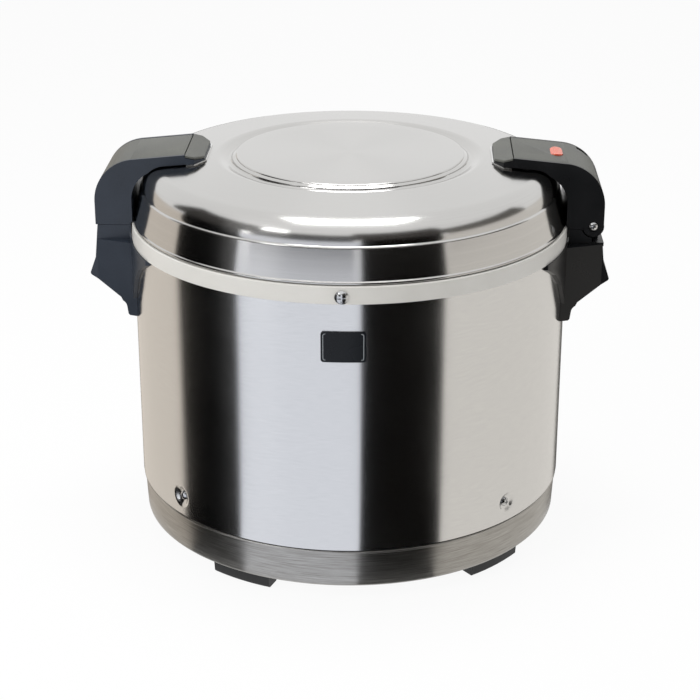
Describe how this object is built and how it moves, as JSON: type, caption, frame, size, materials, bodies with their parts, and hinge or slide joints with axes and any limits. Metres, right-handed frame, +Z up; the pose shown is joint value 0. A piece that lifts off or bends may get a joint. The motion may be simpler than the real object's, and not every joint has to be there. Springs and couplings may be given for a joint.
{
  "type": "rice cooker",
  "caption": "Round insulated rice cooker and warmer with a hinged, latched lid, two arm handles, a lift-out pot and a pilot lamp.",
  "frame": {"origin": "on the table under the centre of the feet and handles", "axes": "+Z up, front is -Y, the hinge handle is at +X and the latch handle at -X"},
  "size_m": [0.41, 0.353, 0.3116],
  "materials": {
    "satin_steel": "satin stainless sheet",
    "spun_steel": "stainless sheet, spun and satin polished",
    "brushed_steel": "stainless sheet, brushed round",
    "plated_steel": "zinc-plated steel",
    "spring_steel": "bright spring steel",
    "bright_plate": "polished plate",
    "collar_plastic": "satin moulded, pale silver grey",
    "badge_black": "gloss black, left bare",
    "foot_rubber": "matt moulded",
    "well_aluminium": "pressed, natural",
    "pot_coating": "dark non-stick coat",
    "heater_casting": "cast",
    "mineral_wool": "pressed mineral-fibre felt",
    "heater_band": "mica-faced heater band",
    "ceramic": "glazed insulating body",
    "silicone": "silicone",
    "inlet_black": "moulded",
    "pin_brass": "turned",
    "slate_plastic": "moulded, dark blue-grey",
    "black_plastic": "moulded, black",
    "grey_plastic": "fine spark texture, warm grey",
    "knob_plastic": "heat-resisting moulding",
    "holder_plastic": "moulded",
    "amber_lens": "translucent orange"
  },
  "bodies": {
    "root": {"outer_shell": "satin_steel", "top_collar": "collar_plastic", "collar_screws": "plated_steel", "shell_screws": "plated_steel", "badge_plate": "badge_black", "base_ring": "brushed_steel", "base_plate": "plated_steel", "feet": "foot_rubber", "foot_screws": "plated_steel", "heated_well": "well_aluminium", "inner_pot": "pot_coating", "insulation_jacket": "mineral_wool", "side_heater": "heater_band", "bottom_heater": "heater_casting", "thermostat": "heater_casting", "thermal_fuse": "ceramic", "terminal_block": "ceramic", "leads": "silicone", "inlet_housing": "inlet_black", "inlet_pins": "pin_brass", "left_lower_grip": "slate_plastic", "right_lower_grip": "black_plastic", "grip_back_plates": "plated_steel", "grip_screws": "plated_steel", "latch_catch": "spring_steel", "catch_screws": "plated_steel"},
    "lid": {"lid_shell": "spun_steel", "lid_liner": "well_aluminium", "lid_insulation": "mineral_wool", "lid_heater": "silicone", "lid_gasket": "silicone", "inner_lid": "well_aluminium", "inner_lid_stud": "plated_steel", "left_arm": "slate_plastic", "right_arm": "black_plastic", "nose_caps": "grey_plastic", "nose_plates": "bright_plate", "right_top_panel": "grey_plastic", "lamp_lens": "amber_lens", "lamp_holder": "holder_plastic", "arm_screws": "plated_steel", "hinge_pin": "spring_steel", "hinge_screws": "plated_steel", "latch_pin": "spring_steel", "latch_spring": "spring_steel"},
    "latch": {"release_plate": "grey_plastic", "latch_hook": "spring_steel"},
    "knob": {"inner_lid_knob": "knob_plastic"}
  },
  "joints": [
    {"name": "lid_hinge", "type": "hinge", "parent": "root", "child": "lid", "pos_m": [0.191, 0, 0.2571], "axis": [0, 1, 0], "range_deg": [0, 95], "deforming": ["latch_catch"]},
    {"name": "release_press", "type": "hinge", "parent": "lid", "child": "latch", "pos_m": [-0.186, 0, 0.2902], "axis": [0, 1, 0], "range_deg": [0, 2.2], "stiffness_Nm_per_rad": 0.35, "springref_deg": -20.05},
    {"name": "knob_turn", "type": "hinge", "parent": "lid", "child": "knob", "pos_m": [0, 0, 0.24], "axis": [0, 0, 1], "range_deg": [0, 90]}
  ]
}
